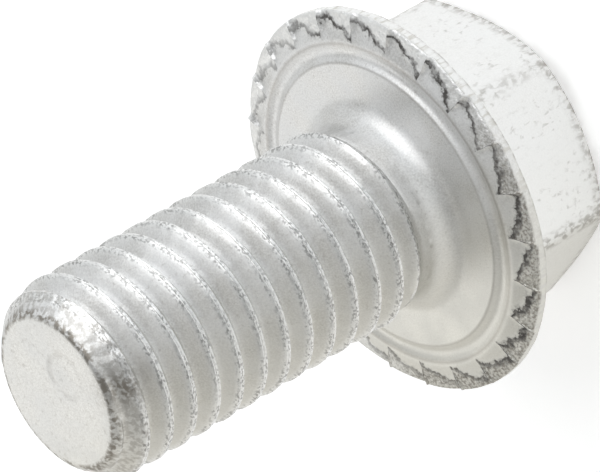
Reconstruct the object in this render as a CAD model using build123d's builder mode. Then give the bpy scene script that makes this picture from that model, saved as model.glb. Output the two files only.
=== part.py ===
"""Serrated hexagon flange bolt, M12 x 1.75 x 25: one cold-forged piece with a rolled thread.

Millimetres. The origin is the centre of the bearing face, where the bolt's length is measured
from. +Z runs along the shank towards the tip, and one flat of the hexagon faces +X.
"""
from build123d import *
import os
from math import cos, radians, sin, tan

# Thread
thread_diameter = 12.0
thread_pitch = 1.75
thread_angle = 60.0
thread_depth = 1.07
crest_width = 0.22
shank_length = 25.0
first_crest_height = 1.0  # height of the crest line at +X, nearest the bearing face
runout_start = 2.25  # where the ridge first leaves the neck
runout_length = 0.9

# Tip
end_face_diameter = 9.3
tip_angle = 45.0

# Neck and the bearing face round it
neck_diameter = 10.9
neck_fillet = 1.5
neck_length = 2.2
neck_taper = 0.8
bearing_diameter = 17.76

# Annular groove between the bearing face and the serrated ring
groove_depth = 0.42
groove_wall_run = 0.22
groove_floor_width = 0.3
ring_drop = 0.16  # the serrated ring lies this far under the bearing face
ring_inner_diameter = 20.1

# Flange rim
flange_diameter = 24.0
rim_chamfer = 0.25
rim_height = 1.25
flange_cone_angle = 24.0

# Ratchet serrations
serration_count = 24
serration_depth = 0.42  # at the rim
serration_root_depth = 0.02  # at the ring's inner edge
serration_face_angle = 55.0
serration_land = 0.12
serration_turn = 14.3  # angle from +X to a steep face

# Hexagon head
across_flats = 16.7
head_height = 9.4
head_chamfer_angle = 30.0
head_end_diameter = 15.4

# Room that a cutter or a ridge takes past the surface it meets
overrun = 1.0
sink = 0.15

thread_radius = thread_diameter / 2
root_radius = thread_radius - thread_depth
neck_radius = neck_diameter / 2
ring_radius = ring_inner_diameter / 2
rim_radius = flange_diameter / 2
flank_slope = tan(radians(thread_angle / 2))

# Threaded rod: a 60 degree ridge swept up the helix onto its core, then turned down to its
# crest, to the run-out at the neck and to the chamfer at the tip
ridge_top = thread_radius + sink / 2
ridge_foot = root_radius - sink
top_half = crest_width / 2 - (ridge_top - thread_radius) * flank_slope
foot_half = crest_width / 2 + (thread_radius - ridge_foot) * flank_slope
helix_height = shank_length - first_crest_height + thread_pitch
clear_radius = thread_radius + overrun
clear_height = shank_length + 2 * thread_pitch
runout_radius = neck_radius - sink
runout_slope = (thread_radius - runout_radius) / runout_length
chamfer_slope = tan(radians(tip_angle))

with BuildPart() as thread:
    with BuildLine() as crest_line:
        Helix(thread_pitch, helix_height, thread_radius, center=(0, 0, first_crest_height))
    with BuildSketch(Plane.XZ):
        with Locations((0, first_crest_height)):
            Polygon(
                (ridge_foot, -foot_half),
                (ridge_top, -top_half),
                (ridge_top, top_half),
                (ridge_foot, foot_half),
                align=None,
            )
    sweep(path=crest_line.line, is_frenet=True)
    with BuildSketch():
        Circle(root_radius)
    extrude(amount=clear_height)
    # crest
    with BuildSketch(Plane.XZ):
        Polygon(
            (thread_radius, -overrun),
            (clear_radius, -overrun),
            (clear_radius, clear_height),
            (thread_radius, clear_height),
            align=None,
        )
    revolve(axis=Axis.Z, mode=Mode.SUBTRACT)
    # run-out
    with BuildSketch(Plane.XZ):
        Polygon(
            (runout_radius, -overrun),
            (clear_radius, -overrun),
            (clear_radius, runout_start + (clear_radius - runout_radius) / runout_slope),
            (runout_radius, runout_start),
            align=None,
        )
    revolve(axis=Axis.Z, mode=Mode.SUBTRACT)
    # tip
    with BuildSketch(Plane.XZ):
        Polygon(
            (0, shank_length),
            (end_face_diameter / 2, shank_length),
            (clear_radius, shank_length - (clear_radius - end_face_diameter / 2) / chamfer_slope),
            (clear_radius, clear_height + overrun),
            (0, clear_height + overrun),
            align=None,
        )
    revolve(axis=Axis.Z, mode=Mode.SUBTRACT)

# One serration cutter. Its floor is two flat facets that meet on a diagonal, from the ring's
# inner edge out to the foot of the steep face, so the ramp deepens along the ring and outwards.
half_pitch = radians(180 / serration_count)
section_inner = ring_radius * cos(half_pitch)
section_outer = rim_radius + overrun
outer_depth = serration_depth * (section_outer - section_inner) / (rim_radius - section_inner)


def ring_point(distance, side, inset=0.0, depth=0.0):
    """A point of the cutter, at a distance out and towards one side of the tooth."""
    return Vector(distance, side * (distance * tan(half_pitch) - inset), -ring_drop - depth)


face_run = 1 / tan(radians(serration_face_angle))
low_in = ring_point(section_inner, -1, serration_land)
low_out = ring_point(section_outer, -1, serration_land)
foot_in = ring_point(section_inner, 1, serration_root_depth * face_run, serration_root_depth)
foot_out = ring_point(section_outer, 1, outer_depth * face_run, outer_depth)
high_in = ring_point(section_inner, 1)
high_out = ring_point(section_outer, 1)
lift = Vector(0, 0, overrun)

with BuildPart() as serration:
    add(
        Solid(
            Shell(
                [
                    Face(Wire.make_polygon(corners))
                    for corners in (
                        (low_in, foot_in, foot_out),
                        (low_in, foot_out, low_out),
                        (foot_in, high_in, high_out, foot_out),
                        (low_in, low_in + lift, high_in + lift, high_in, foot_in),
                        (low_out, low_out + lift, high_out + lift, high_out, foot_out),
                        (low_in, low_out, low_out + lift, low_in + lift),
                        (high_in, high_out, high_out + lift, high_in + lift),
                        (low_in + lift, low_out + lift, high_out + lift, high_in + lift),
                    )
                ]
            )
        )
    )

# The bolt
with BuildPart() as flange_bolt:
    # hexagon, chamfered at its end
    with BuildSketch(Plane.XY.offset(-head_height)):
        RegularPolygon(across_flats / 2, 6, major_radius=False, rotation=30)
    extrude(amount=head_height - ring_drop - rim_height)
    with BuildSketch(Plane.XZ):
        Polygon(
            (0, -head_height),
            (head_end_diameter / 2, -head_height),
            (head_end_diameter / 2 + head_height / tan(radians(head_chamfer_angle)), 0),
            (0, 0),
            align=None,
        )
    revolve(axis=Axis.Z, mode=Mode.INTERSECT)

    # flange, groove, neck and the thread's core, turned round the axis
    cone_run = rim_radius - rim_chamfer - across_flats / 2
    rim_back = -ring_drop - rim_height
    cone_end = rim_back - cone_run * tan(radians(flange_cone_angle))
    neck_end = neck_length + neck_taper
    bearing_radius = bearing_diameter / 2
    groove_floor = bearing_radius + groove_wall_run
    with BuildSketch(Plane.XZ):
        with BuildLine():
            Polyline(
                (0, cone_end),
                (across_flats / 2, cone_end),
                (rim_radius - rim_chamfer, rim_back),
            )
            Polyline(
                (rim_radius - rim_chamfer, rim_back),
                (rim_radius, rim_back + rim_chamfer),
                (rim_radius, -ring_drop - rim_chamfer),
                (rim_radius - rim_chamfer, -ring_drop),
                (ring_radius, -ring_drop),
                (groove_floor + groove_floor_width, -groove_depth),
                (groove_floor, -groove_depth),
                (bearing_radius, 0),
                (neck_radius + neck_fillet, 0),
            )
            Bezier((neck_radius + neck_fillet, 0), (neck_radius, 0), (neck_radius, neck_fillet))
            Polyline(
                (neck_radius, neck_fillet),
                (neck_radius, neck_length),
                (root_radius - sink, neck_end),
                (0, neck_end),
                (0, cone_end),
            )
        make_face()
    revolve(axis=Axis.Z)

    # ratchet serrations, pressed into the ring
    with PolarLocations(0, serration_count, start_angle=serration_turn - 180 / serration_count):
        add(serration.part, mode=Mode.SUBTRACT)

    # thread
    add(thread.part)

flange_bolt.part.label = "flange_bolt"
os.makedirs("parts", exist_ok=True)
export_step(flange_bolt.part, "parts/flange_bolt.step")
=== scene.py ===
"""The finish of a serrated hexagon flange bolt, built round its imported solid.

The bolt is one cold-forged, thread-rolled and zinc-coated piece. Its skin is modelled again here at
full detail: the rolled thread with its rounded valleys and folded crests, the pressed ratchet
serrations with their worn shoulders, the turned groove, the forged hexagon and the chamfered tip.

Lengths are in millimetres and angles in radians, unless a docstring or a comment says otherwise.
The origin is the centre of the bearing face, and +Z runs along the shank towards the tip.
"""

import logging
import math
from dataclasses import dataclass
from enum import Enum
from functools import partial

import bmesh
import bpy
import numpy as np
from bpy.types import ID, Material, Mesh, Node, NodeSocket, NodeTree, Object, World
from mathutils import Matrix, Vector


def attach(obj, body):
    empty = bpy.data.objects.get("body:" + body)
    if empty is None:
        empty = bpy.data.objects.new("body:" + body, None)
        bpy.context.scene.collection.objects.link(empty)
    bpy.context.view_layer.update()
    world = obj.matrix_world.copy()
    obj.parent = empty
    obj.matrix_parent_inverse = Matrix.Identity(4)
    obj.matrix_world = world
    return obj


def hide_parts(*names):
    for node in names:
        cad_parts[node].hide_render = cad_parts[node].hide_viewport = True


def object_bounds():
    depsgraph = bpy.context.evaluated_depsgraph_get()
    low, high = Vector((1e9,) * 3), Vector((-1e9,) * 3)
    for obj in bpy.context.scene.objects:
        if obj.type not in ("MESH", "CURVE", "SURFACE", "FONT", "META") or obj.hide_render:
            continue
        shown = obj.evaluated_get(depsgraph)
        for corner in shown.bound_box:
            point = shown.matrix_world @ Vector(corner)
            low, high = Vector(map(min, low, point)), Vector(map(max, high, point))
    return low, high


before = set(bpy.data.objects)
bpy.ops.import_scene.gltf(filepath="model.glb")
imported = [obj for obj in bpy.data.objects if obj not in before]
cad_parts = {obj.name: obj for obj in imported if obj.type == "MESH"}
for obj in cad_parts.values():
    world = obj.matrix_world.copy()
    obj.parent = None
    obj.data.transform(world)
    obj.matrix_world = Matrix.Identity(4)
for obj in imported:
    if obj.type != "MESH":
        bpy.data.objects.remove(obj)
CAD_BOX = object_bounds()

LOG = logging.getLogger("flange_bolt")
MM = 0.001
WELD = 0.002 * MM  # points closer than this are one point, in metres
NUDGE = 1e-6  # keeps a mesh column that stands on a steep face on the right side of it


class Mark(Enum):
    """Vertex attributes that tell the coating where it is worn, creased or dirty, and where light and
    shade are painted into its colour.
    """

    CREST = "crest"
    FOLD = "fold"
    BAND = "band"
    WALL = "wall"
    LINE_WEIGHT = "scuff"
    SOIL_AND_SHADE = "soil"
    RING = "ring"
    HEAD = "head"
    GRIME_AND_SHADE = "grime"
    EDGE = "edge"
    FACE = "face"
    STAIN = "stain"
    TINT = "tint"


Marks = dict[Mark, np.ndarray]


@dataclass(frozen=True)
class Ramp:
    """A soft change from 0 at one value to 1 at another."""

    low: float
    high: float

    def up(self, value: np.ndarray) -> np.ndarray:
        """Share of the way from low to high, eased at both ends."""
        share = np.clip((value - self.low) / (self.high - self.low), 0.0, 1.0)
        return share * share * (3.0 - 2.0 * share)

    def down(self, value: np.ndarray) -> np.ndarray:
        """Share of the way back from high to low, eased at both ends."""
        return 1.0 - self.up(value)


@dataclass(frozen=True)
class Waver:
    """A smooth irregularity that closes on itself round the axis, as the sum of a few waves."""

    seed: int
    scale: float
    reach: float
    waves: int = 10
    girth: float = 36.0  # what is cut into bumps of the given scale, once round
    peak: float = 4.5  # about the most that the waves add up to

    def at(self, angle: np.ndarray, height: np.ndarray) -> np.ndarray:
        """Works the irregularity out.

        Args:
            angle: Angles round the bolt.
            height: Heights along it.

        Returns:
            The irregularity at each point, between about minus and plus its reach.
        """
        draw = np.random.default_rng(self.seed)
        total = np.zeros(np.broadcast(angle, height).shape)
        for _ in range(self.waves):
            turns = draw.integers(1, max(2, int(self.girth / self.scale)))
            rise = draw.normal(0.0, 2.0 / self.scale)
            total += np.sin(turns * angle + rise * height + draw.uniform(0.0, math.tau))
        return total * self.reach / self.peak


def soft_min(first: np.ndarray, second: np.ndarray | float, blend: float) -> np.ndarray:
    """The lower of two surfaces, rounded where they cross.

    Args:
        first: Heights of one surface.
        second: Heights of the other surface.
        blend: Height difference over which the two run into each other.

    Returns:
        The blended heights.
    """
    share = np.clip(0.5 + 0.5 * (second - first) / blend, 0.0, 1.0)
    return second * (1.0 - share) + first * share - blend * share * (1.0 - share)


def soft_max(first: np.ndarray, second: np.ndarray | float, blend: float) -> np.ndarray:
    """The higher of two surfaces, rounded where they cross within the blend."""
    return -soft_min(-first, -second, blend)


def turned(radius: np.ndarray, height: np.ndarray, angle: np.ndarray) -> np.ndarray:
    """Points at some radii, heights and angles, which are broadcast together."""
    radius, height, angle = np.broadcast_arrays(radius, height, angle)
    return np.stack([radius * np.cos(angle), radius * np.sin(angle), height], -1)


def add_object(name: str, data: ID) -> Object:
    """Links a new object with some data into the scene."""
    made = bpy.data.objects.new(name, data)
    bpy.context.collection.objects.link(made)
    return made


def grid_object(name: str, points: np.ndarray) -> Object:
    """Makes a sheet of quads.

    Args:
        name: Name of the object.
        points: Rows of columns of points.

    Returns:
        The new object.
    """
    rows, columns = points.shape[:2]
    index = np.arange(rows * columns).reshape(rows, columns)
    around = (index[:-1, :-1], index[:-1, 1:], index[1:, 1:], index[1:, :-1])
    quads = np.stack([corner.ravel() for corner in around], 1)
    mesh = bpy.data.meshes.new(name)
    mesh.from_pydata((points.reshape(-1, 3) * MM).tolist(), [], quads.tolist())
    return add_object(name, mesh)


class Places:
    """The points of a mesh, and where they lie round the axis."""

    def __init__(self, mesh: Mesh) -> None:
        """Reads the points.

        Args:
            mesh: The mesh, in metres.
        """
        points = np.empty(len(mesh.vertices) * 3)
        mesh.vertices.foreach_get("co", points)
        self.points = points.reshape(-1, 3) / MM
        self.height = self.points[:, 2]
        self.angle = np.arctan2(self.points[:, 1], self.points[:, 0])
        self.radius = np.hypot(self.points[:, 0], self.points[:, 1])


def empty_tree(block: Material | World) -> NodeTree:
    """Gives a material or a world an empty node tree."""
    block.use_nodes = True
    block.node_tree.nodes.clear()
    return block.node_tree


def add_node(tree: NodeTree, kind: str, links: dict | None = None, **settings: object) -> Node:
    """Adds a node.

    Args:
        tree: Node tree that takes it.
        kind: Node type.
        links: What goes into its inputs, by name or number: a socket is linked, a node is linked
            by its first output, and a value is set.
        settings: Properties of the node.

    Returns:
        The new node.
    """
    node = tree.nodes.new(kind)
    for name, value in settings.items():
        setattr(node, name, value)
    for key, value in (links or {}).items():
        source = value.outputs[0] if isinstance(value, Node) else value
        if isinstance(source, NodeSocket):
            tree.links.new(source, node.inputs[key])
        else:
            node.inputs[key].default_value = source
    return node


class RuledCopies:
    """Geometry Nodes that repeat a patch round the axis or along it, and weld the copies."""

    SIZES = {
        "Count": "NodeSocketInt",
        "Turn": "NodeSocketFloat",
        "Rise": "NodeSocketFloat",
        "Weld": "NodeSocketFloat",
        "Material": "NodeSocketMaterial",
    }

    def __init__(self, material: Material) -> None:
        """Builds the node tree.

        Args:
            material: Material of all copies.
        """
        self.material = material
        self.tree = bpy.data.node_groups.new("repeat_by_rule", "GeometryNodeTree")
        socket = self.tree.interface.new_socket
        socket("Geometry", in_out="INPUT", socket_type="NodeSocketGeometry")
        self.inputs = {
            name: socket(name, in_out="INPUT", socket_type=kind).identifier
            for name, kind in self.SIZES.items()
        }
        socket("Geometry", in_out="OUTPUT", socket_type="NodeSocketGeometry")
        put = partial(add_node, self.tree)
        given = put("NodeGroupInput").outputs
        index = put("GeometryNodeInputIndex")
        rise = put("ShaderNodeMath", {0: index, 1: given["Rise"]}, operation="MULTIPLY")
        turn = put("ShaderNodeMath", {0: index, 1: given["Turn"]}, operation="MULTIPLY")
        offset = put("ShaderNodeCombineXYZ", {"Z": rise})
        euler = put("ShaderNodeCombineXYZ", {"Z": turn})
        places = put("GeometryNodePoints", {"Count": given["Count"], "Position": offset})
        links = {"Points": places, "Instance": given["Geometry"], "Rotation": euler}
        copies = put("GeometryNodeInstanceOnPoints", links)
        whole = put("GeometryNodeRealizeInstances", {"Geometry": copies})
        links = {"Geometry": whole, "Distance": given["Weld"]}
        welded = put("GeometryNodeMergeByDistance", links)
        links = {"Geometry": welded, "Material": given["Material"]}
        put("NodeGroupOutput", {0: put("GeometryNodeSetMaterial", links)})

    def repeat(
        self, patch: Object, count: int, turn: float = 0.0, rise: float = 0.0
    ) -> Mesh:
        """Repeats a patch and takes the patch itself off the scene.

        Args:
            patch: Object that is repeated.
            count: Number of copies.
            turn: Angle from one copy to the next.
            rise: Height from one copy to the next.

        Returns:
            The plain mesh of all copies.
        """
        modifier = patch.modifiers.new("repeat", "NODES")
        modifier.node_group = self.tree
        values = (count, turn, rise * MM, WELD, self.material)
        for name, value in zip(self.SIZES, values):
            modifier[self.inputs[name]] = value
        bpy.context.view_layer.update()
        evaluated = patch.evaluated_get(bpy.context.evaluated_depsgraph_get())
        mesh = bpy.data.meshes.new_from_object(evaluated)
        blank = patch.data
        bpy.data.objects.remove(patch)
        bpy.data.meshes.remove(blank)
        return mesh


@dataclass(frozen=True)
class Serrations:
    """The ring of ratchet teeth. Its spacing also sets the mesh columns of the whole bolt."""

    inner_radius: float = 10.05
    outer_radius: float = 12.0
    drop: float = 0.16  # from the bearing face down to the ring
    count: int = 24
    depth: float = 0.42
    root_depth: float = 0.02
    crease: float = 0.03
    face_angle: float = math.radians(55.0)
    turn: float = math.radians(14.3)
    facet_start: float = 0.28  # from the ring's inner edge
    worn_width: float = 0.6  # between the facet's furthest point and the rim
    worn_slope: float = 0.2
    arch: float = 1.6  # above 1, the facet's outer edge bows outwards
    columns_per_tooth: int = 12
    column_crowding: float = 1.5  # above 1, the columns crowd towards the next steep face

    @property
    def tooth_angle(self) -> float:
        """Angle that one tooth takes up."""
        return math.tau / self.count

    @property
    def facet_radius(self) -> float:
        """Radius at which the smooth facets start."""
        return self.inner_radius + self.facet_start

    def columns(self, teeth: int) -> np.ndarray:
        """Angles of the mesh columns over some teeth, closer together near each steep face.

        Args:
            teeth: How many teeth the columns span.

        Returns:
            The angles, with both ends.
        """
        step = np.arange(self.columns_per_tooth) / self.columns_per_tooth
        share = 1.0 - (1.0 - step) ** self.column_crowding
        whole = np.concatenate([tooth + share for tooth in range(teeth)] + [[float(teeth)]])
        return self.turn + whole * self.tooth_angle

    def share(self, angle: np.ndarray) -> np.ndarray:
        """How far each angle lies through its tooth, from 0 after a steep face to 1 at the next."""
        return np.mod((angle - self.turn) / self.tooth_angle + NUDGE, 1.0)

    def worn_edge(self, angle: np.ndarray) -> np.ndarray:
        """Radius where the smooth facet of each tooth gives way to its worn shoulder."""
        facet = self.outer_radius - self.worn_width - self.facet_radius
        return self.facet_radius + facet * (1.0 - (1.0 - self.share(angle)) ** self.arch)

    def height(self, angle: np.ndarray, radius: np.ndarray) -> np.ndarray:
        """Height of the ring's surface, with its facets, steep faces and worn shoulders.

        Args:
            angle: Angles round the bolt.
            radius: Distances from its axis.

        Returns:
            The heights.
        """
        share = self.share(angle)
        out = (radius - self.facet_radius) / (
            self.outer_radius - self.worn_width - self.facet_radius
        )
        fall = self.depth - self.root_depth
        deepest = self.root_depth + fall * np.clip(out, 0.0, 1.0)
        face = deepest / math.tan(self.face_angle) / (radius * self.tooth_angle)
        facet = soft_min(self.root_depth * share + fall * out, self.depth * share, self.crease)
        wall = deepest * np.clip((1.0 - share) / face, 0.0, 1.0)
        depth = np.where(share > 1.0 - face, np.minimum(facet, wall), facet)
        shoulder = self.worn_slope * np.maximum(radius - self.worn_edge(angle), 0.0)
        return -self.drop - np.clip(depth, 0.0, self.depth) - shoulder


@dataclass(frozen=True)
class Shank:
    """The rolled thread with its run-out, chamfered tip and end face."""

    teeth: Serrations
    thread_radius: float = 6.0
    root_radius: float = 4.93
    pitch: float = 1.75
    first_crest: float = 1.0  # height of a crest at +X
    flank_angle: float = math.radians(30.0)
    flank_meet: float = 0.24  # above the crest
    valley_blend: float = 0.42
    crest_blend: float = 0.06
    seam_depth: float = 0.07
    seam_width: float = 0.05
    # mesh rows of the section, in distances from the middle of the crest
    section_rows: tuple[float, ...] = (0.06, 0.12, 0.18, 0.34, 0.5, 0.63, 0.75)
    turns_below: int = 2
    turns_above: int = 1
    length: float = 25.0
    neck_radius: float = 5.45
    neck_fillet: float = 1.5
    runout_start: float = 2.2
    runout_length: float = 0.9
    crest_runout: Ramp = Ramp(-0.1, 1.2)  # in shares of the run-out's length
    root_runout: Ramp = Ramp(0.0, 1.0)
    end_radius: float = 4.65
    # the end face's rounded edge, out from its radius and down from its height
    end_edge: tuple[tuple[float, float], ...] = ((0.13, 0.15), (0.03, 0.07), (-0.1, 0.015), (-0.3, 0.0))
    end_rings: tuple[float, ...] = (3.9, 3.2, 2.5, 1.8, 1.1, 0.5, 0.0)
    tip_blend: float = 0.12
    tip_waver: Waver = Waver(seed=5, scale=3.0, reach=0.05)
    fine_waver: Waver = Waver(seed=11, scale=0.9, reach=0.018)
    broad_waver: Waver = Waver(seed=12, scale=2.5, reach=0.01)

    @property
    def trim_height(self) -> float:
        """Height at which the thread's rows end and the end face's edge starts."""
        return self.length - self.end_edge[0][1]

    def section(self, off: np.ndarray) -> np.ndarray:
        """Radius of the thread's section.

        Args:
            off: Distances along the axis from the middle of the crest.

        Returns:
            The radii, with a folded seam on the crest and a rounded valley.
        """
        off = np.abs(off)
        flank = self.thread_radius + self.flank_meet - off / math.tan(self.flank_angle)
        body = soft_max(flank, self.root_radius, self.valley_blend)
        top = soft_min(body, self.thread_radius, self.crest_blend)
        return top - self.seam_depth * np.exp(-((off / self.seam_width) ** 2))

    def thread_patch(self) -> Object:
        """One turn of the thread, as an open strip that rises by the pitch.

        Returns:
            The strip, below the bearing face.
        """
        half = self.pitch / 2
        out = np.array(self.section_rows)
        rows = np.concatenate([[-half], -out[::-1], [0.0], out, [half]])
        angle = self.teeth.columns(self.teeth.count)
        start = self.first_crest - self.turns_below * self.pitch
        height = start + rows[:, None] + self.pitch * angle / math.tau
        return grid_object("thread_turn", turned(self.section(rows)[:, None], height, angle))

    def trim(self, mesh: Mesh) -> None:
        """Turns the thread down to its run-out and its chamfered tip, and flattens its ends.

        Args:
            mesh: Mesh of the repeated turns, changed in place.
        """
        at = Places(mesh)
        angle = at.angle
        height = np.clip(at.height, self.neck_fillet, self.trim_height)
        rise = (height - self.runout_start) / self.runout_length
        over = self.thread_radius - self.neck_radius
        crest = self.neck_radius + over * self.crest_runout.up(rise)
        under = self.neck_radius - self.root_radius
        core = self.neck_radius - under * self.root_runout.up(rise)
        chamfer = self.end_radius + self.length - height
        chamfer = chamfer + self.tip_waver.at(angle, height) * (height < self.trim_height)
        radius = np.maximum(np.minimum(at.radius, crest), core)
        radius = soft_min(radius, chamfer, self.tip_blend)
        worn = self.fine_waver.at(angle, height) + self.broad_waver.at(angle, height)
        worn = radius + np.minimum(worn, self.thread_radius - radius)
        radius = np.where(at.height <= self.neck_fillet, self.neck_radius, worn)
        end = self.end_radius + self.end_edge[0][0]
        radius = np.where(at.height >= self.trim_height, end, radius)
        mesh.vertices.foreach_set("co", (turned(radius, height, angle) * MM).ravel())

    def end_patch(self) -> Object:
        """The sector of the end face over one tooth's angle.

        Returns:
            The sector, from the thread's last row to the axis.
        """
        angle = self.teeth.columns(1)
        rows = [(self.end_radius + out, self.length - down) for out, down in self.end_edge]
        rows += [(radius, self.length) for radius in self.end_rings]
        return grid_object("end_sector", np.stack([turned(*row, angle) for row in rows]))

    def build_thread(self, copies: RuledCopies) -> Mesh:
        """Builds the trimmed thread.

        Args:
            copies: What repeats its turn.

        Returns:
            The thread, open at both ends.
        """
        turns = self.turns_below + math.ceil(self.length / self.pitch) + self.turns_above
        thread = copies.repeat(self.thread_patch(), turns, rise=self.pitch)
        self.trim(thread)
        return thread

    def build_end(self, copies: RuledCopies) -> Mesh:
        """The end face, repeated from its patch."""
        return copies.repeat(self.end_patch(), self.teeth.count, turn=self.teeth.tooth_angle)


@dataclass(frozen=True)
class Flange:
    """The flange from its neck fillet over the bearing face, groove and serrations to its rim."""

    teeth: Serrations
    shank: Shank
    fillet_rows: int = 11
    bearing_radius: float = 8.88
    bearing_insets: tuple[float, ...] = (1.38, 0.78, 0.33, 0.08)  # rings, in from the groove
    groove_depth: float = 0.399
    # the groove's profile, in shares of its width and depth, ends level with the serrated ring
    groove_profile: tuple[tuple[float, float], ...] = (
        (0.0, 0.0),
        (0.06, 0.04),
        (0.14, 0.17),
        (0.24, 0.38),
        (0.36, 0.58),
        (0.48, 0.66),
        (0.6, 0.66),
        (0.72, 0.6),
        (0.84, 0.49),
        (0.94, 0.4),
        (1.0, 0.4),
    )
    tooth_rows: int = 11
    # the rounded upper edge of the rim, in from the rim and down from the tooth's surface
    edge_inset: tuple[float, float] = (0.08, 0.02)
    edge_fall: tuple[float, float] = (0.05, 0.14)
    side_rows: int = 7
    rim_height: float = 1.25
    rim_chamfer: float = 0.25
    chamfer_rows: tuple[float, ...] = (0.45, 1.0)
    chamfer_bow: float = 0.6
    cone_angle: float = math.radians(24.0)

    @property
    def back(self) -> float:
        """Height of the rim's lower edge."""
        return -self.teeth.drop - self.rim_height

    @property
    def back_radius(self) -> float:
        """Radius of the rim's lower edge."""
        return self.teeth.outer_radius - self.rim_chamfer

    def cone(self, radius: np.ndarray) -> np.ndarray:
        """Height of the flange's conical back at some radii."""
        return self.back - (self.back_radius - radius) * math.tan(self.cone_angle)

    def patch(self) -> Object:
        """The sector of the flange that holds one tooth, from the neck to the rim's lower edge.

        Returns:
            The sector.
        """
        teeth = self.teeth
        angle = teeth.columns(1)
        fillet = self.shank.neck_fillet
        rows = [
            (self.shank.neck_radius + fillet * (1 - math.cos(turn)), fillet * (1 - math.sin(turn)))
            for turn in np.linspace(0.0, math.pi / 2, self.fillet_rows)
        ]
        rows += [(self.bearing_radius - inset, 0.0) for inset in self.bearing_insets]
        width = teeth.inner_radius - self.bearing_radius
        rows += [
            (self.bearing_radius + width * out, -self.groove_depth * down)
            for out, down in self.groove_profile
        ]
        strip = [turned(*row, angle) for row in rows]
        last = teeth.outer_radius - self.edge_inset[0]
        for radius in np.linspace(teeth.inner_radius, last, self.tooth_rows)[1:]:
            strip.append(turned(radius, teeth.height(angle, radius), angle))
        top = teeth.height(angle, last)
        strip.append(turned(teeth.outer_radius - self.edge_inset[1], top - self.edge_fall[0], angle))
        low = self.back + self.rim_chamfer
        for share in np.linspace(0.0, 1.0, self.side_rows):
            height = (top - self.edge_fall[1]) * (1 - share) + low * share
            strip.append(turned(teeth.outer_radius, height, angle))
        for share in self.chamfer_rows:
            radius = teeth.outer_radius - self.rim_chamfer * share
            strip.append(turned(radius, low - self.rim_chamfer * share**self.chamfer_bow, angle))
        return grid_object("flange_tooth", np.stack(strip))

    def build(self, copies: RuledCopies) -> Mesh:
        """The flange, repeated from its patch."""
        return copies.repeat(self.patch(), self.teeth.count, turn=self.teeth.tooth_angle)


@dataclass(frozen=True)
class Head:
    """The flange's conical back and the forged hexagon with its chamfered end."""

    SIDES = 6

    teeth: Serrations
    flange: Flange
    across_flats: float = 16.7
    corner_radius: float = 9.45
    corner_blend: float = 0.25
    height: float = 9.4
    end_radius: float = 7.7
    chamfer_angle: float = math.radians(30.0)
    cone_rows: tuple[float, ...] = (0.0, 0.3, 0.6, 0.85, 1.0)
    # the hollow foot of the hexagon, where it grows out of the cone
    foot_width: float = 0.45
    foot_height: float = 0.55
    foot_bow: float = 1.6
    foot_rows: tuple[float, ...] = (0.35, 0.7, 1.0)
    side_rows: tuple[float, ...] = (0.12, 0.3, 0.5, 0.7, 0.88, 1.0)
    # the rounded edge between the sides and the end chamfer
    edge_height: float = 0.12
    edge_inset: float = 0.03
    edge_rise: float = 0.04
    chamfer_rows: tuple[float, ...] = (0.1, 0.35, 0.65, 0.93)
    chamfer_crown: float = 0.01
    end_inset: float = 0.12
    end_rings: tuple[float, ...] = (6.4, 4.8, 3.2, 1.6, 0.0)

    def hexagon(self, angle: np.ndarray) -> np.ndarray:
        """Distance of the hexagon's sides from the axis, with its corners rounded.

        Args:
            angle: Angles round the bolt.

        Returns:
            The distances.
        """
        wedge = math.tau / self.SIDES
        side = np.mod(angle + wedge / 2, wedge) - wedge / 2
        return soft_min(self.across_flats / 2 / np.cos(side), self.corner_radius, self.corner_blend)

    def chamfer(self, radius: np.ndarray) -> np.ndarray:
        """Height of the end chamfer's cone at some radii."""
        return -self.height + (radius - self.end_radius) * math.tan(self.chamfer_angle)

    def patch(self) -> Object:
        """A sixth of the head, from the rim's lower edge to the middle of its end.

        Returns:
            The patch.
        """
        angle = self.teeth.columns(self.teeth.count // self.SIDES)
        side = self.hexagon(angle)
        foot = side + self.foot_width
        outer = self.flange.back_radius
        strip = []
        for share in self.cone_rows:
            radius = outer + (foot - outer) * share
            strip.append(turned(radius, self.flange.cone(radius), angle))
        foot_level = self.flange.cone(foot)
        for share in self.foot_rows:
            radius = side + self.foot_width * (1 - share) ** self.foot_bow
            strip.append(turned(radius, foot_level - self.foot_height * share, angle))
        edge = self.chamfer(side)
        for share in self.side_rows:
            upper = (foot_level - self.foot_height) * (1 - share)
            strip.append(turned(side, upper + (edge + self.edge_height) * share, angle))
        inner = side - self.edge_inset
        strip.append(turned(inner, edge + self.edge_rise, angle))
        for share in self.chamfer_rows:
            radius = inner * (1 - share) + self.end_radius * share
            strip.append(turned(radius, self.chamfer(radius) + self.chamfer_crown * (1 - share), angle))
        for radius in (self.end_radius - self.end_inset, *self.end_rings):
            strip.append(turned(radius, -self.height, angle))
        return grid_object("head_side", np.stack(strip))

    def build(self, copies: RuledCopies) -> Mesh:
        """The head, repeated from its patch."""
        return copies.repeat(self.patch(), self.SIDES, turn=math.tau / self.SIDES)


@dataclass(frozen=True)
class Dent:
    """A round knock in the surface."""

    place: tuple[float, float, float]
    width: float
    depth: float
    on_end: bool = False

    def press(self, points: np.ndarray) -> np.ndarray:
        """Presses the dent in, along the axis on the end face and towards the axis elsewhere.

        Args:
            points: Points of the skin.

        Returns:
            The moved points.
        """
        place = np.array(self.place)
        aim = place * ((0, 0, 1) if self.on_end else (1, 1, 0))
        reach = np.sum((points - place) ** 2, 1) / (self.width / 2) ** 2
        return points - (np.exp(-reach) * self.depth)[:, None] * aim / np.linalg.norm(aim)


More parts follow.
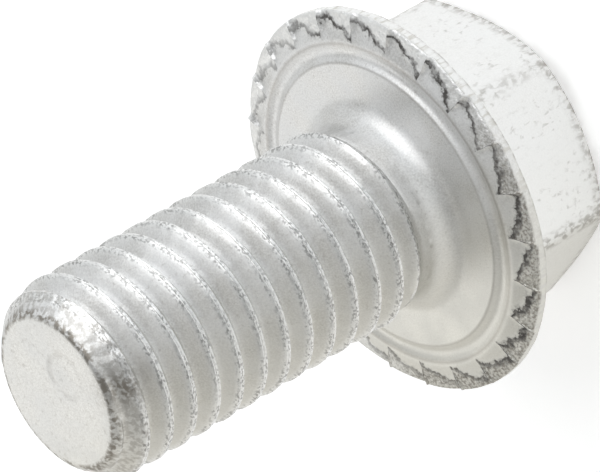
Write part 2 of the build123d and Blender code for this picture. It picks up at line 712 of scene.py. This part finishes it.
@dataclass(frozen=True)
class Wear:
    """What forging, rolling and handling left on the skin, where the coating shows it, and where light
    and shade are painted into its colour.
    """

    shank: Shank
    flange: Flange
    head: Head

    # where each form starts: out from the ring's inner edge, down from its teeth, down from the
    # bearing face, up from the run-out's start and out from the thread's root
    ring_reach: Ramp = Ramp(-0.02, 0.04)
    wall_depth: Ramp = Ramp(0.06, 0.2)
    wall_clear: float = 0.08
    head_depth: Ramp = Ramp(1.7, 2.6)
    thread_rise: Ramp = Ramp(0.0, 0.6)
    flank_reach: Ramp = Ramp(0.07, 0.27)
    # how far the crest's brightening and smoother finish reach from the middle of the thread's crest;
    # the brightening is partly handling wear and partly painted highlight
    crest_reach: Ramp = Ramp(0.12, 0.36)
    fold_below: Ramp = Ramp(-0.3, -0.12)
    fold_above: Ramp = Ramp(0.12, 0.34)
    # the sides of the ring where the facets' dark line is strongest, and where soil lies and the
    # shoulders' painted highlight gives way to painted shade: an azimuth, a cosine and a least share
    line_side: float = 0.2
    line_turn: Ramp = Ramp(-0.4, 0.6)
    line_least: float = 0.1
    soil_and_shade_side: float = -0.9
    soil_and_shade_turn: Ramp = Ramp(-0.05, 0.75)
    soil_and_shade_least: float = 0.08
    # painted shade: thin dark lines along both edges of the groove
    outer_line: Ramp = Ramp(0.02, 0.14)
    inner_line: Ramp = Ramp(0.02, 0.12)
    inner_line_in: float = 0.05
    inner_line_share: float = 0.6
    # the faces of the hexagon that are painted lighter, as painted light on its lit side, between two
    # azimuths, with the faces beyond left darker as painted shade; how far soil reaches from its
    # chamfer, how far painted shade reaches from its corners, and how far soil reaches from the edge of
    # its end and below the bearing face
    lit_from: Ramp = Ramp(math.radians(-32.0), math.radians(-28.0))
    lit_to: Ramp = Ramp(math.radians(130.0), math.radians(170.0))
    lit_least: float = 0.2
    chamfer_soil: Ramp = Ramp(0.0, 0.5)
    corner_shade: Ramp = Ramp(0.1, 0.75)
    corner_share: float = 0.35
    end_soil: Ramp = Ramp(-0.1, 0.2)
    back_depth: Ramp = Ramp(1.0, 1.5)
    # the tip, in heights from its end face: its soiled edge, the soil on its chamfer, the pitted face
    # itself and the warmer, darker colour on it, with a stain beside it
    tip_reach: Ramp = Ramp(-0.3, -0.05)
    tip_edge: Ramp = Ramp(-0.4, -0.2)
    tip_chamfer: Ramp = Ramp(-1.7, -1.2)
    tip_chamfer_share: float = 0.45
    end_face: Ramp = Ramp(-0.07, -0.01)
    end_tint: Ramp = Ramp(-0.1, -0.01)
    end_tint_share: float = 0.3
    stain: tuple[float, float, float] = (5.35, -0.3, 24.2)
    stain_spread: float = 1.7
    # the side of the bolt that is painted warmer, as painted warm reflected light
    tint_aim: tuple[float, float, float] = (0.22, -0.98, 0.0)
    tint_reach: Ramp = Ramp(-3.0, 9.0)
    # how the rim's side, the worn shoulders and the hexagon are roughened
    torn: float = 0.03
    torn_most: float = 0.12
    torn_fine: Waver = Waver(seed=31, scale=0.7, reach=0.03)
    torn_broad: Waver = Waver(seed=32, scale=1.6, reach=0.03)
    shoulder_reach: Ramp = Ramp(0.0, 0.25)
    sunk: float = 0.02
    sunk_most: float = 0.08
    sunk_waver: Waver = Waver(seed=33, scale=0.8, reach=0.03)
    hexagon_reach: Ramp = Ramp(-0.45, -0.15)  # out from its flats
    hexagon_waver: Waver = Waver(seed=34, scale=2.2, reach=0.012)
    dents: tuple[Dent, ...] = (
        Dent((1.6, 0.9, 25.0), 1.5, 0.05, on_end=True),
        Dent((-1.4, -1.8, 25.0), 0.8, 0.03, on_end=True),
        Dent((7.6, -4.3, -5.4), 0.7, 0.05),
        Dent((8.2, 1.9, -6.6), 0.9, 0.06),
        Dent((4.6, 7.6, -5.0), 1.0, 0.06),
        Dent((2.1, 8.3, -7.2), 0.6, 0.05),
        Dent((9.3, 4.8, -7.4), 0.9, 0.12),
        Dent((9.2, -4.9, -7.8), 1.0, 0.15),
    )

    def shank_marks(self, at: Places) -> Marks:
        """Marks of the thread and the tip.

        Args:
            at: Points of the skin.

        Returns:
            A value for each point, by mark.
        """
        shank = self.shank
        turns = (at.height - shank.first_crest) / shank.pitch - at.angle / math.tau
        off = (turns - np.round(turns)) * shank.pitch
        thread = self.thread_rise.up(at.height - shank.runout_start)
        thread = thread * self.flank_reach.up(at.radius - shank.root_radius)
        end = at.height - shank.length
        soil = self.tip_chamfer_share * self.tip_chamfer.up(end)
        soil = np.maximum(self.tip_edge.up(end), soil)
        soil = soil * self.tip_reach.up(at.radius - shank.end_radius)
        away = np.sum((at.points - np.array(self.stain)) ** 2, 1)
        # painted warm reflected light on the -Y side
        warm = self.tint_reach.up(at.points @ np.array(self.tint_aim))
        return {
            Mark.CREST: thread * self.crest_reach.down(np.abs(off)),
            Mark.FOLD: thread * self.fold_below.up(off) * self.fold_above.down(off),
            Mark.EDGE: soil,
            Mark.FACE: self.end_face.up(end),
            Mark.STAIN: np.exp(-away / self.stain_spread),
            Mark.TINT: np.maximum(warm, self.end_tint_share * self.end_tint.up(end)),
        }

    def wall(self, at: Places) -> np.ndarray:
        """How far each point lies below the teeth: 1 on the rim's side, and 0 on a facet.

        Args:
            at: Points of the skin.

        Returns:
            The shares.
        """
        teeth = self.flange.teeth
        surface = np.clip(at.radius, teeth.inner_radius, teeth.outer_radius - self.wall_clear)
        depth = teeth.height(at.angle, surface) - at.height
        return self.ring_reach.up(at.radius - teeth.inner_radius) * self.wall_depth.up(depth)

    def flange_marks(self, at: Places) -> Marks:
        """Marks of the flange and the head.

        Args:
            at: Points of the skin.

        Returns:
            A value for each point, by mark.
        """
        angle, radius, height = at.angle, at.radius, at.height
        teeth = self.flange.teeth
        below = self.head_depth.up(-height)
        ring = self.ring_reach.up(radius - teeth.inner_radius)
        on_ring = ring * (1 - below)
        band = np.clip(radius - teeth.worn_edge(angle), -1, 1)
        # how strongly the facets' dark line shows round the ring
        scuffed = self.line_turn.up(np.cos(angle - self.line_side))
        # the side where the shoulders are mottled with soil and where their painted highlight is left
        # off, as painted shade
        soiled_and_shaded = self.soil_and_shade_turn.up(np.cos(angle - self.soil_and_shade_side))
        # painted shade along the groove's outer and inner edges
        inner = np.abs(radius - self.flange.bearing_radius - self.inner_line_in)
        lines = np.maximum(
            self.outer_line.down(np.abs(radius - teeth.inner_radius)),
            self.inner_line_share * self.inner_line.down(inner),
        )
        # painted light: the hexagon's faces between these azimuths are painted lighter, and the faces
        # beyond stay darker as painted shade
        lit_side = self.lit_from.up(angle) * self.lit_to.down(angle)
        wedge = math.tau / self.head.SIDES
        corner = radius * np.abs(np.sin(np.mod(angle, wedge) - wedge / 2))
        # painted shade along the hexagon's corners, twice as strong on the -Y side
        ridge = self.corner_shade.down(corner) * self.corner_share * (1 + (angle < 0))
        inside = (height - self.head.chamfer(radius)) / math.tan(self.head.chamfer_angle)
        edges = np.maximum(self.chamfer_soil.down(inside), ridge)
        edges = edges * self.end_soil.up(radius - self.head.end_radius)
        return {
            Mark.BAND: np.where(ring > 0.5, band, -1),
            Mark.WALL: self.wall(at) * (1 - below),
            Mark.LINE_WEIGHT: on_ring * (self.line_least + (1 - self.line_least) * scuffed),
            Mark.SOIL_AND_SHADE: on_ring * (self.soil_and_shade_least + (1 - self.soil_and_shade_least) * soiled_and_shaded),
            Mark.RING: lines * (1 - below),
            # painted light on the hexagon's lit faces, which also weights its scratches
            Mark.HEAD: below * (self.lit_least + (1 - self.lit_least) * lit_side),
            Mark.GRIME_AND_SHADE: below * edges + on_ring * self.back_depth.up(-height),
        }

    def roughen(self, at: Places, band: np.ndarray) -> np.ndarray:
        """Tears the rim's side, sinks the worn shoulders, and warps and dents the hexagon.

        Args:
            at: Points of the skin.
            band: How far each lies outside the smooth facet of its tooth.

        Returns:
            The moved points.
        """
        angle, radius, height = at.angle, at.radius, at.height
        below = self.head_depth.up(-height)
        wall = self.wall(at)
        torn = self.torn + self.torn_fine.at(angle, height) + self.torn_broad.at(angle, height)
        inward = wall * (1 - below) * np.clip(torn, 0, self.torn_most)
        on_side = below * self.hexagon_reach.up(radius - self.head.across_flats / 2)
        inward = inward - np.minimum(on_side * self.hexagon_waver.at(angle, height), 0)
        shoulder = self.shoulder_reach.up(band) * (1 - below) * (1 - wall)
        sunk = np.clip(self.sunk + self.sunk_waver.at(angle, radius), 0, self.sunk_most)
        radius = radius * (1 - inward / np.maximum(radius, 1.0))
        points = turned(radius, height - shoulder * sunk, angle)
        for dent in self.dents:
            points = dent.press(points)
        return points

    def apply(self, mesh: Mesh) -> None:
        """Roughens the skin and writes the marks that the coating reads.

        Args:
            mesh: The welded skin, changed in place.
        """
        at = Places(mesh)
        marks = self.shank_marks(at) | self.flange_marks(at)
        points = self.roughen(at, marks[Mark.BAND])
        mesh.vertices.foreach_set("co", (points * MM).ravel())
        for mark, values in marks.items():
            layer = mesh.attributes.new(mark.value, "FLOAT", "POINT")
            layer.data.foreach_set("value", values.astype(np.float32))


@dataclass(frozen=True)
class FlangeBolt:
    """The whole bolt as one welded, closed skin."""

    shank: Shank
    flange: Flange
    head: Head
    wear: Wear
    sharp_angle: float = math.radians(38.0)

    def weld(self, meshes: list[Mesh]) -> Mesh:
        """Welds the stretches of the skin into one.

        Args:
            meshes: The stretches, which are used up.

        Returns:
            The welded mesh, with its faces turned outwards.
        """
        skin = bmesh.new()
        for mesh in meshes:
            skin.from_mesh(mesh)
            bpy.data.meshes.remove(mesh)
        bmesh.ops.remove_doubles(skin, verts=skin.verts, dist=WELD)
        bmesh.ops.dissolve_degenerate(skin, edges=skin.edges, dist=WELD)
        bmesh.ops.recalc_face_normals(skin, faces=skin.faces)
        open_edges = sum(1 for edge in skin.edges if len(edge.link_faces) != 2)
        LOG.info("skin: %d faces, %d open edges", len(skin.faces), open_edges)
        welded = bpy.data.meshes.new("flange_bolt_skin")
        skin.to_mesh(welded)
        skin.free()
        return welded

    def build(self, material: Material) -> Object:
        """Builds the bolt.

        Args:
            material: Material of its coat.

        Returns:
            The finished object, at the origin, unturned and unscaled.
        """
        copies = RuledCopies(material)
        mesh = self.weld([
            self.shank.build_thread(copies),
            self.flange.build(copies),
            self.head.build(copies),
            self.shank.build_end(copies),
        ])
        mesh.materials.clear()
        mesh.materials.append(material)
        self.wear.apply(mesh)
        mesh.shade_smooth()
        mesh.set_sharp_from_angle(angle=self.sharp_angle)
        return add_object("flange_bolt_skin", mesh)


def linear(code: str) -> tuple[float, ...]:
    """Turns an sRGB hex colour into linear RGBA."""
    parts = [int(code[i : i + 2], 16) / 255 for i in (1, 3, 5)]
    return (*(v / 12.92 if v <= 0.04045 else ((v + 0.055) / 1.055) ** 2.4 for v in parts), 1.0)


class Tone(Enum):
    """Colours of the coat, as sRGB hex values."""

    SHADE = "#cbcac8"
    BARE = "#dadada"
    WORN_AND_LIT = "#ececeb"
    WARM = "#d4d1c6"
    ROUGH_WALL = "#cfcdc8"
    GRIME_AND_SHADE = "#7d766c"
    SCUFFED = "#4b4845"


@dataclass(frozen=True)
class Pattern:
    """Soft random spots. Their size is that of the largest, in millimetres."""

    size: float
    detail: float
    stretch: tuple[float, float, float] = (1.0, 1.0, 1.0)
    distortion: float = 0.0


class How(Enum):
    """How several values become one."""

    TIMES = "MULTIPLY"
    PLUS = "ADD"
    LESS = "SUBTRACT"
    MOST = "MAXIMUM"


class Join:
    """Several parts of a formula made one. A part is a number, a name, or a Join or Ease of parts."""

    def __init__(self, how: How, *parts: "str | float | Join | Ease") -> None:
        """Takes how they are joined, and the parts."""
        self.how = how
        self.parts = parts


@dataclass(frozen=True)
class Ease:
    """A part of a formula, mapped softly from low to high onto start to end."""

    part: str | Join
    low: float
    high: float
    start: float = 0.0
    end: float = 1.0


class Formulas:
    """Turns formulas into nodes. A formula can name what is already known."""

    def __init__(self, tree: NodeTree, known: dict[str, Node | NodeSocket]) -> None:
        """Takes the node tree, and the nodes and sockets that the formulas can name."""
        self.put = partial(add_node, tree)
        self.known = known

    def add(self, part: str | float | Join | Ease) -> Node | NodeSocket | float:
        """Adds the nodes of a formula.

        Args:
            part: The formula, or a part of it.

        Returns:
            The node or socket that gives its value, or the number that it is.
        """
        if isinstance(part, Ease):
            links = {0: self.add(part.part), 1: part.low, 2: part.high, 3: part.start, 4: part.end}
            return self.put("ShaderNodeMapRange", links, interpolation_type="SMOOTHSTEP")
        if isinstance(part, Join):
            total, *rest = [self.add(each) for each in part.parts]
            for value in rest:
                links = {0: total, 1: value}
                total = self.put("ShaderNodeMath", links, operation=part.how.value)
            return total
        return self.known[part] if isinstance(part, str) else part


@dataclass(frozen=True)
class ZincCoat:
    """Zinc, electroplated on cold-forged steel: a pale silver-grey, fine-grained metal.

    Its fine crystals spread every highlight softly, with no mirror image. Where the coat is folded or
    torn it holds dark soil, and where it is handled it is rubbed nearly white. Some of its colour is
    painted light: highlights on the crests, the hexagon's lit faces and the serrations' shoulders, a
    warm reflection on one side, and shade along the groove, the hexagon's corners and beside each
    facet's dark line.
    """

    print_at: tuple[float, float, float] = (1.56 * MM, 0.93 * MM, 25.0 * MM)
    print_radius: float = 1.3 * MM
    print_line: tuple[float, float] = (0.05 * MM, 0.36 * MM)
    bump_strength: float = 0.36
    bump_distance: float = 0.03 * MM

    def patterns(self) -> dict[str, Pattern]:
        """Random patterns in the coat, by name."""
        return {
            # real zinc crystals are finer: the grain is drawn as coarse as it has to be to show
            "grain": Pattern(0.11, 5.0),
            "cloud": Pattern(2.6, 4.0),
            "freckle": Pattern(0.2, 4.0),
            "speck": Pattern(0.24, 5.0, distortion=0.3),
            "pit": Pattern(0.38, 7.0, distortion=0.4),
            "fold_speck": Pattern(0.13, 5.0, stretch=(0.6, 0.6, 1.3)),
            "fold_stretch": Pattern(1.3, 3.0),
            "drag": Pattern(0.3, 4.0, stretch=(1.0, 1.0, 0.3)),
            "scratch": Pattern(0.32, 7.0, stretch=(1.0, 1.0, 0.7), distortion=0.35),
            "scratch_field": Pattern(1.8, 3.0),
            "wander": Pattern(0.8, 3.0),
            "smudge": Pattern(0.3, 3.0),
            "fade": Pattern(1.1, 3.0),
            "mottling": Pattern(0.17, 6.0),
            "crush": Pattern(0.5, 3.0),
            "print_break": Pattern(0.9, 3.0),
        }

    def masks(self) -> dict[str, Join | Ease]:
        """Formulas for where and how strongly each effect shows, by name and in order."""
        times, plus, less, most = (partial(Join, how) for how in How)
        radius = self.print_radius
        near, far = self.print_line
        return {
            # the coat lies unevenly, in broad soft clouds, fine grain and faint freckles
            "clouded": Ease("cloud", 0.35, 0.65),
            "grained": Ease("grain", 0.35, 0.7, 0.0, 0.6),
            "freckled": Ease("freckle", 0.56, 0.74, 0.0, 0.24),
            # the sheared end face is pitted
            "pitted": times("face", Ease("pit", 0.55, 0.78, 0.0, 0.3)),
            # one side is painted a little warmer as painted warm reflected light, and the end face a
            # little warmer and darker
            "warm": times("tint", 0.6),
            # rolling folds leave dark broken specks along the crests, and the crests are painted
            # brighter, partly as handling wear and partly as painted highlight
            "crest_highlight": times("crest", 0.8),
            "broken": times(
                Ease("fold", 0.1, 0.8),
                Ease("fold_speck", 0.46, 0.6),
                Ease("fold_stretch", 0.34, 0.6, 0.35, 1.0),
            ),
            "fold_line": times("broken", 0.55),
            # painted shade along the groove's edges
            "groove_shade_line": times("ring", 0.4),
            # the hexagon's faces on its lit side are painted nearly white as painted light, and the
            # faces beyond less so as painted shade, with dark scratches left between
            "painted_face_light": times("head", 0.7),
            "marked": times(
                "head", Ease("scratch", 0.54, 0.7), Ease("scratch_field", 0.45, 0.62, 0.15, 1.0)
            ),
            "scratched": times("marked", 0.35),
            # past its smooth facet every serration is painted bright, as is the rim's side: partly
            # rubbed metal and partly painted highlight, left off as painted shade on the soiled side
            "shoulder_rub_and_highlight": times(Ease("band", -0.05, 0.15), less(1.0, "soil"), 0.85),
            # each facet ends in a ragged dark line with a painted soft shadow on the facet's side of
            # it, and the worn shoulder past it is mottled
            "ragged": plus(
                "band",
                Ease("speck", 0.3, 0.7, -0.08, 0.08),
                Ease("wander", 0.3, 0.7, -0.2, 0.2),
            ),
            "past": times(Ease("ragged", -0.03, 0.05), less(1.0, "wall")),
            "hard_line": times(
                "past", Ease("ragged", 0.16, 0.55, 1.0, 0.0), Ease("smudge", 0.3, 0.55, 0.6, 1.0)
            ),
            # painted shadow: a soft darkening on the facet's side of the line
            "soft_line": times(Ease("ragged", -0.2, 0.0), Ease("ragged", 0.2, 0.6, 0.3, 0.0)),
            "line": times(
                most("hard_line", "soft_line"),
                Ease("scuff", 0.1, 0.9, 0.5, 1.0),
                Ease("fade", 0.35, 0.55, 0.7, 1.0),
            ),
            "mottle": times("past", Ease("mottling", 0.4, 0.64, 0.1, 0.75), "soil"),
            "scuffed": most("line", times("mottle", 0.5)),
            # the rim's side is torn and streaked
            "streak": times("wall", Ease("drag", 0.46, 0.66)),
            # soil gathers along the edges, painted shade lies along the hexagon's corners, and a brown
            # stain lies beside the tip
            "dirt_and_shade": most(
                times(most("grime", "edge"), Ease("scratch", 0.42, 0.6, 0.1, 0.85)),
                times("stain", Ease("speck", 0.38, 0.6, 0.25, 0.9)),
            ),
            # the header's pin leaves a faint round print on the end face
            "pressed": times(
                Ease(
                    most(less("from_print", radius), less(radius, "from_print")), near, far, 1.0, 0.0
                ),
                Ease("print_break", 0.36, 0.6, 0.0, 0.9),
            ),
            "printed": times("pressed", 0.16),
        }

    def layers(self) -> dict[str, Tone]:
        """Colours that lie over each other, each where its mask says and in this order."""
        return {
            "clouded": Tone.BARE,
            "grained": Tone.WORN_AND_LIT,
            "freckled": Tone.GRIME_AND_SHADE,
            "pitted": Tone.GRIME_AND_SHADE,
            "warm": Tone.WARM,
            "crest_highlight": Tone.WORN_AND_LIT,
            "fold_line": Tone.SCUFFED,
            "groove_shade_line": Tone.GRIME_AND_SHADE,
            "painted_face_light": Tone.WORN_AND_LIT,
            "scratched": Tone.GRIME_AND_SHADE,
            "shoulder_rub_and_highlight": Tone.WORN_AND_LIT,
            "mottle": Tone.GRIME_AND_SHADE,
            "line": Tone.SCUFFED,
            "streak": Tone.ROUGH_WALL,
            "dirt_and_shade": Tone.GRIME_AND_SHADE,
            "printed": Tone.GRIME_AND_SHADE,
        }

    def surface(self) -> dict[str, Join]:
        """Formulas for the coat's roughness, for how much metal is bare, and for its relief."""
        times, plus, less, _ = (partial(Join, how) for how in How)
        return {
            "Roughness": plus(
                Ease("cloud", 0.3, 0.7, 0.4, 0.5),
                times("crest", -0.12),
                times("scuffed", 0.25),
                times("wall", 0.12),
            ),
            "Metallic": less(1.0, times("scuffed", 0.7)),
            "Height": plus(
                times("grain", 0.6),
                times("pressed", -2.0),
                times("drag", "wall", 3.0),
                times("speck", "scuffed", 2.5),
                times("crush", "past", 20.0),
                times("broken", -0.5),
                times("pitted", -1.5),
                times("marked", -1.2),
            ),
        }

    def build(self, name: str) -> Material:
        """Builds the material.

        Args:
            name: Name of the material.

        Returns:
            The material, whose patterns lie in object space and follow the mesh's marks.
        """
        material = bpy.data.materials.new(name)
        tree = empty_tree(material)
        put = partial(add_node, tree)
        place = put("ShaderNodeTexCoord").outputs["Object"]
        print_links = {0: place, 1: self.print_at}
        from_print = put("ShaderNodeVectorMath", print_links, operation="DISTANCE")
        known = {"from_print": from_print.outputs["Value"]}
        for mark in Mark:
            marked = put("ShaderNodeAttribute", attribute_name=mark.value)
            known[mark.value] = marked.outputs["Fac"]
        for title, pattern in self.patterns().items():
            laid = put("ShaderNodeMapping", {0: place, "Scale": pattern.stretch})
            links = {"Vector": laid, "Scale": 1 / (pattern.size * MM), "Detail": pattern.detail}
            spots = put("ShaderNodeTexNoise", links | {"Distortion": pattern.distortion})
            known[title] = spots.outputs["Fac"]
        formulas = Formulas(tree, known)
        for title, mask in self.masks().items():
            known[title] = formulas.add(mask)
        colour = linear(Tone.SHADE.value)
        for title, tone in self.layers().items():
            links = {"Factor": known[title], 6: colour, 7: linear(tone.value)}
            colour = put("ShaderNodeMix", links, data_type="RGBA").outputs[2]
        surface = {title: formulas.add(formula) for title, formula in self.surface().items()}
        bump = {"Strength": self.bump_strength, "Distance": self.bump_distance}
        bump["Height"] = surface.pop("Height")
        normal = put("ShaderNodeBump", bump)
        shader = put("ShaderNodeBsdfPrincipled", surface | {"Base Color": colour, "Normal": normal})
        put("ShaderNodeOutputMaterial", {"Surface": shader})
        return material


def direction(azimuth: float, elevation: float) -> Vector:
    """Unit vector towards an azimuth and elevation in degrees."""
    around, up = math.radians(azimuth), math.radians(elevation)
    return Vector((math.cos(around) * math.cos(up), math.sin(around) * math.cos(up), math.sin(up)))


@dataclass(frozen=True)
class SoftBox:
    """A square studio lamp, aimed at the bolt. Its azimuth and elevation are in degrees."""

    name: str
    azimuth: float
    elevation: float
    distance: float
    width: float
    radiance: float

    def build(self, aim: Vector) -> Object:
        """Hangs the lamp.

        Args:
            aim: Point it shines on.

        Returns:
            The lamp.
        """
        light = bpy.data.lights.new(self.name, "AREA")
        light.shape = "SQUARE"
        light.size = self.width * MM
        light.energy = self.radiance * math.pi * light.size**2
        lamp = add_object(self.name, light)
        away = direction(self.azimuth, self.elevation)
        lamp.location = (aim + away * self.distance) * MM
        lamp.rotation_euler = away.to_track_quat("Z", "Y").to_euler()
        return lamp


@dataclass(frozen=True)
class Room:
    """The pale floor and the soft light of the room. Its azimuth and elevation are in degrees."""

    floor_width: float = 4000.0
    floor_colour: str = "#f4f4f4"
    floor_glow: float = 0.36  # what the floor shows above its own light, so that it looks white
    cool_azimuth: float = 70.0
    cool_elevation: float = 30.0
    warm: tuple[float, ...] = (1.0, 0.975, 0.915, 1.0)
    cool: tuple[float, ...] = (0.93, 0.97, 1.0, 1.0)
    warm_level: float = 0.93
    cool_level: float = 0.88
    roof: tuple[float, float] = (0.45, 0.95)  # the sines between which the roof darkens
    roof_level: float = 0.45

    def build_floor(self) -> Object:
        """Lays the floor under the bolt's lowest point.

        Returns:
            The floor.
        """
        half = self.floor_width / 2
        level = min(corner[2] for corner in CAD_BOX) / MM
        points = [[(x, y, level) for x in (-half, half)] for y in (-half, half)]
        floor = grid_object("floor", np.array(points))
        material = bpy.data.materials.new("pale_card")
        put = partial(add_node, empty_tree(material))
        path = put("ShaderNodeLightPath").outputs
        seen = path["Is Camera Ray"]
        for ray in ("Is Glossy Ray", "Is Transmission Ray"):
            seen = put("ShaderNodeMath", {0: seen, 1: path[ray]}, operation="MAXIMUM")
        card = put("ShaderNodeBsdfDiffuse", {"Color": linear(self.floor_colour)})
        white = (1.0, 1.0, 1.0, 1.0)
        glow = put("ShaderNodeEmission", {"Color": white, "Strength": self.floor_glow})
        lit = put("ShaderNodeAddShader", {0: card, 1: glow})
        shown = put("ShaderNodeMixShader", {0: seen, 1: card, 2: lit})
        put("ShaderNodeOutputMaterial", {"Surface": shown})
        floor.data.materials.append(material)
        return floor

    def build_world(self) -> None:
        """Fills the room with light that is cool on one side, warm on the other and dim overhead."""
        world = bpy.data.worlds.new("studio")
        put = partial(add_node, empty_tree(world))
        towards = put("ShaderNodeTexCoord").outputs["Generated"]
        links = {0: towards, 1: direction(self.cool_azimuth, self.cool_elevation)}
        facing = put("ShaderNodeVectorMath", links, operation="DOT_PRODUCT").outputs["Value"]
        share = put("ShaderNodeMapRange", {0: facing, 1: -1.0, 2: 1.0})
        links = {"Factor": share, 6: self.warm, 7: self.cool}
        tint = put("ShaderNodeMix", links, data_type="RGBA").outputs[2]
        links = {0: share, 3: self.warm_level, 4: self.cool_level}
        level = put("ShaderNodeMapRange", links)
        rise = put("ShaderNodeSeparateXYZ", {0: towards}).outputs["Z"]
        links = {0: rise, 1: self.roof[0], 2: self.roof[1], 3: 1.0, 4: self.roof_level}
        roof = put("ShaderNodeMapRange", links)
        level = put("ShaderNodeMath", {0: level, 1: roof}, operation="MULTIPLY")
        links = {0: level, 1: put("ShaderNodeLightPath").outputs["Is Camera Ray"]}
        strength = put("ShaderNodeMath", links, operation="MAXIMUM")
        sky = put("ShaderNodeBackground", {"Color": tint, "Strength": strength})
        put("ShaderNodeOutputWorld", {"Surface": sky})
        bpy.context.scene.world = world


@dataclass(frozen=True)
class Camera:
    """A long lens, rolled so that the standing bolt is seen lying. Its angles are in degrees."""

    lens: float = 312.9
    sensor: float = 36.0
    clip_start: float = 0.01  # in metres
    distance: float = 300.0
    azimuth: float = 13.707
    elevation: float = 33.121
    roll: float = -119.61
    target: tuple[float, float, float] = (-2.886, 0.184, 4.230)

    def build(self) -> Object:
        """Sets the camera up.

        Returns:
            The camera.
        """
        data = bpy.data.cameras.new("camera")
        data.lens = self.lens
        data.sensor_width = self.sensor
        data.clip_start = self.clip_start
        camera = add_object("camera", data)
        back = direction(self.azimuth, self.elevation)
        level = Vector((0, 0, 1)).cross(back).normalized()
        upright = back.cross(level)
        roll = math.radians(self.roll)
        right = level * math.cos(roll) + upright * math.sin(roll)
        turn = Matrix((right, back.cross(right), back)).transposed().to_4x4()
        place = (Vector(self.target) + back * self.distance) * MM
        camera.matrix_world = Matrix.Translation(place) @ turn
        bpy.context.scene.camera = camera
        return camera


@dataclass(frozen=True)
class Studio:
    """Room, lamps and camera."""

    room: Room = Room()
    camera: Camera = Camera()
    aim: tuple[float, float, float] = (0.0, 0.0, 5.0)
    lamps: tuple[SoftBox, ...] = (
        SoftBox("key", azimuth=78.0, elevation=47.0, distance=260.0, width=235.0, radiance=1.6),
        SoftBox("far", azimuth=195.0, elevation=35.0, distance=280.0, width=150.0, radiance=0.7),
    )

    def build(self) -> Object:
        """Builds the studio.

        Returns:
            The floor.
        """
        floor = self.room.build_floor()
        self.room.build_world()
        for lamp in self.lamps:
            lamp.build(Vector(self.aim))
        self.camera.build()
        bpy.context.scene.view_settings.view_transform = "Standard"
        LOG.info("studio: floor, world, %d lamps and camera", len(self.lamps))
        return floor


def main() -> None:
    logging.basicConfig(level=logging.INFO, format="%(message)s")
    material = ZincCoat().build("zinc_plated_cold_forged_steel")
    teeth = Serrations()
    shank = Shank(teeth)
    flange = Flange(teeth, shank)
    head = Head(teeth, flange)
    bolt = FlangeBolt(shank, flange, head, Wear(shank, flange, head)).build(material)
    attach(bolt, "root")
    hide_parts("flange_bolt")
    LOG.info("flange bolt: %d triangles", sum(len(p.vertices) - 2 for p in bolt.data.polygons))
    floor = Studio().build()


if __name__ == "__main__":
    main()
